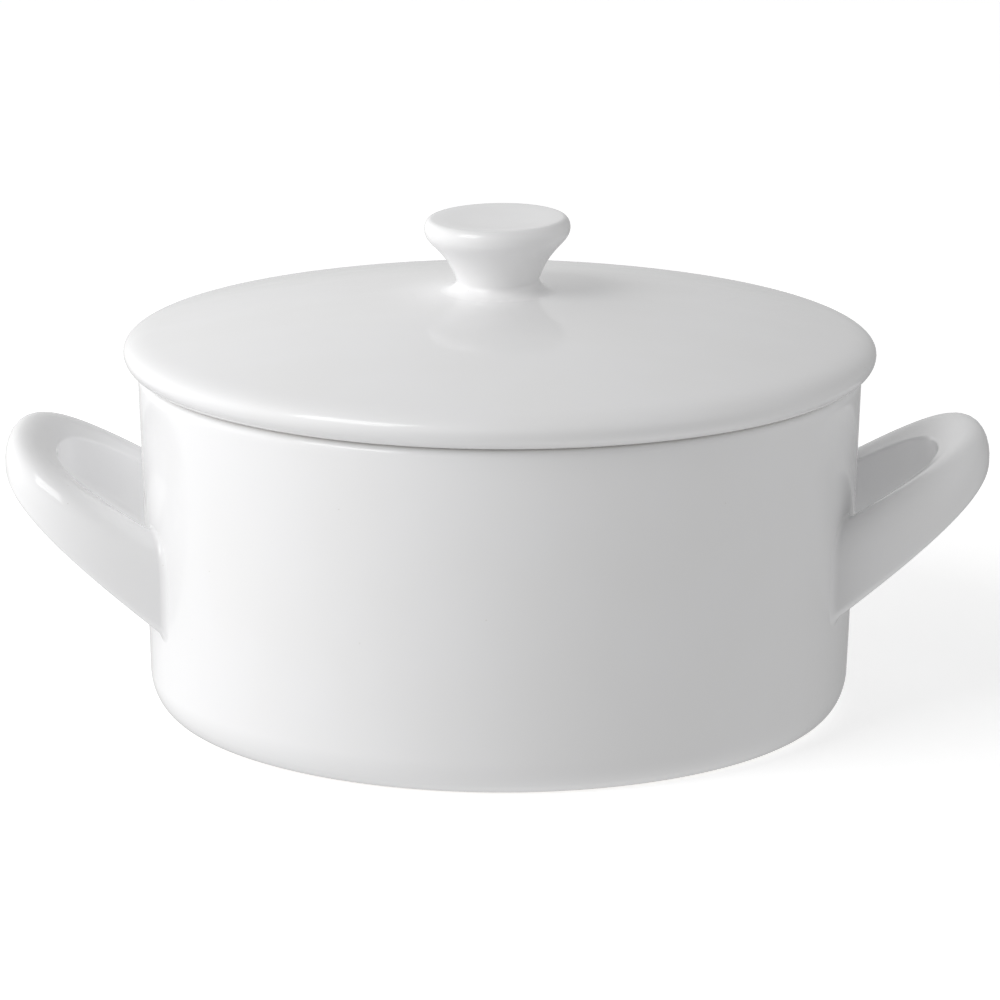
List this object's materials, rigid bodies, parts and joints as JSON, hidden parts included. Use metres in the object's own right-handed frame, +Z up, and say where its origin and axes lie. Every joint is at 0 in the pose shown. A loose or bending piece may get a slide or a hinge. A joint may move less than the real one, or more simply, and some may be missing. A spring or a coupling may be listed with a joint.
{
  "type": "covered casserole dish",
  "caption": "Round straight-sided ceramic casserole with looped side handles and a lift-off domed lid with a flared knob.",
  "frame": {"origin": "centre of the base, on the surface the dish stands on", "axes": "+Z up along the axis of the pot, +X through the right handle, +Y to the back"},
  "size_m": [0.3006, 0.2286, 0.1507],
  "materials": {
    "white_glaze": "glossy clear glaze over white porcelain"
  },
  "bodies": {
    "dish": {"bowl": "white_glaze", "handle_left": "white_glaze", "handle_right": "white_glaze"},
    "lid": {"lid": "white_glaze", "lid_knob": "white_glaze"}
  },
  "joints": [
    {"name": "lid_lift", "type": "slide", "parent": "dish", "child": "lid", "axis": [0, 0, 1], "range_m": [0, 0.15]}
  ]
}
